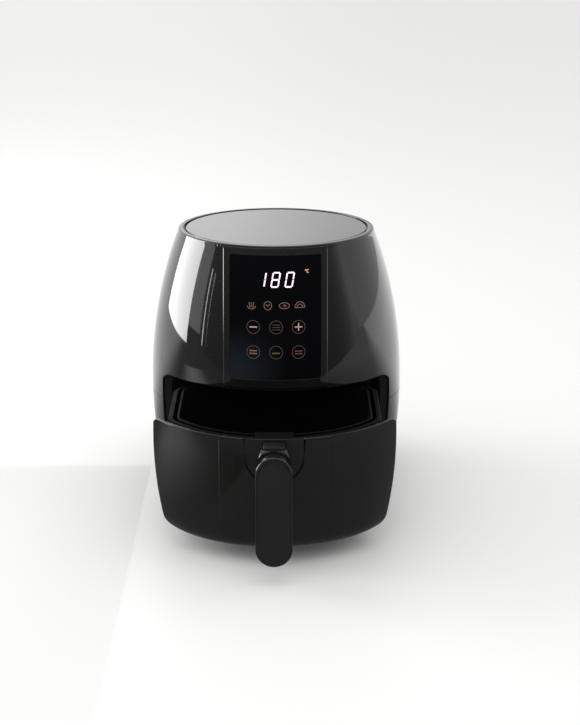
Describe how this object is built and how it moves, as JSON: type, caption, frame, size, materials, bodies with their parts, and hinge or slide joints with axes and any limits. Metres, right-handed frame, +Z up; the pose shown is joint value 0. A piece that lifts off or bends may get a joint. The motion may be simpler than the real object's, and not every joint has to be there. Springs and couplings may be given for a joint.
{
  "type": "air fryer",
  "caption": "Round-bodied counter-top air fryer with a touch display, a heating chamber with a fan, and a pull-out drawer with pan, basket, upright handle and release button.",
  "frame": {"origin": "On the floor, under the middle of the object's box with the drawer out as stored", "axes": "+Z up, -Y towards the drawer's handle, +X to the right as seen from the front"},
  "size_m": [0.268, 0.462, 0.275],
  "materials": {
    "gloss_black": "high gloss",
    "mirror_black": "mirror gloss",
    "dark_plastic": "fine matte",
    "soft_grip": "matte",
    "button_plastic": "satin",
    "tinted_glass": "dark tint",
    "display_face": "display window",
    "circuit_board": "laminate",
    "black_rubber": "moulded",
    "screw_steel": "plated",
    "spring_steel": "drawn wire",
    "heater_sheath": "heat tinted",
    "liner_sheet": "aluminised sheet",
    "fan_sheet": "pressed sheet",
    "motor_can": "plated can",
    "ceramic": "unglazed",
    "coated_pan": "non-stick coating",
    "coated_basket": "non-stick coating"
  },
  "bodies": {
    "housing": {"upper_shell": "gloss_black", "lower_shell": "gloss_black", "base_plate": "dark_plastic", "rubber_feet": "black_rubber", "foot_screws": "screw_steel", "base_screws": "screw_steel", "front_panel": "gloss_black", "control_glass": "tinted_glass", "display_carrier": "dark_plastic", "display_board": "circuit_board", "led_display": "display_face", "top_cover": "dark_plastic", "top_panel": "mirror_black", "bay_frame": "dark_plastic", "drawer_runners": "dark_plastic", "chamber_liner": "liner_sheet", "heating_element": "heater_sheath", "heater_clips": "screw_steel", "heater_insulators": "ceramic", "heat_shield": "liner_sheet", "motor_bracket": "screw_steel", "motor": "motor_can", "motor_screws": "screw_steel", "thermal_cutout": "ceramic", "temperature_sensor": "screw_steel", "power_board": "circuit_board", "board_brackets": "screw_steel", "reed_switch": "dark_plastic", "exhaust_grille": "dark_plastic", "exhaust_duct": "dark_plastic", "cord_gland": "black_rubber"},
    "fan_rotor": {"motor_shaft": "screw_steel", "circulation_fan": "fan_sheet", "cooling_fan": "dark_plastic", "fan_nut": "screw_steel"},
    "drawer": {"drawer_front": "gloss_black", "drawer_front_carrier": "dark_plastic", "drawer_pan": "coated_pan", "basket": "coated_basket", "basket_floor": "coated_basket", "drawer_bumpers": "black_rubber", "basket_bracket": "screw_steel", "handle_mount": "gloss_black", "handle_body": "gloss_black", "handle_grip": "soft_grip", "handle_screws": "screw_steel", "latch_keeper": "screw_steel", "drawer_magnet": "motor_can", "release_spring": "spring_steel"},
    "release": {"release_button": "button_plastic", "release_latch": "dark_plastic"}
  },
  "joints": [
    {"name": "drawer_slide", "type": "slide", "parent": "housing", "child": "drawer", "axis": [0, -1, 0], "range_m": [-0.149, 0.022]},
    {"name": "release_press", "type": "slide", "parent": "drawer", "child": "release", "axis": [0, 0, -1], "range_m": [0, 0.003], "stiffness_N_per_m": 400, "springref_m": -0.004, "deforming": ["release_spring"]},
    {"name": "fan_spin", "type": "hinge", "parent": "housing", "child": "fan_rotor", "pos_m": [0, 0.097, 0.2], "axis": [0, 0, 1], "continuous": true}
  ]
}
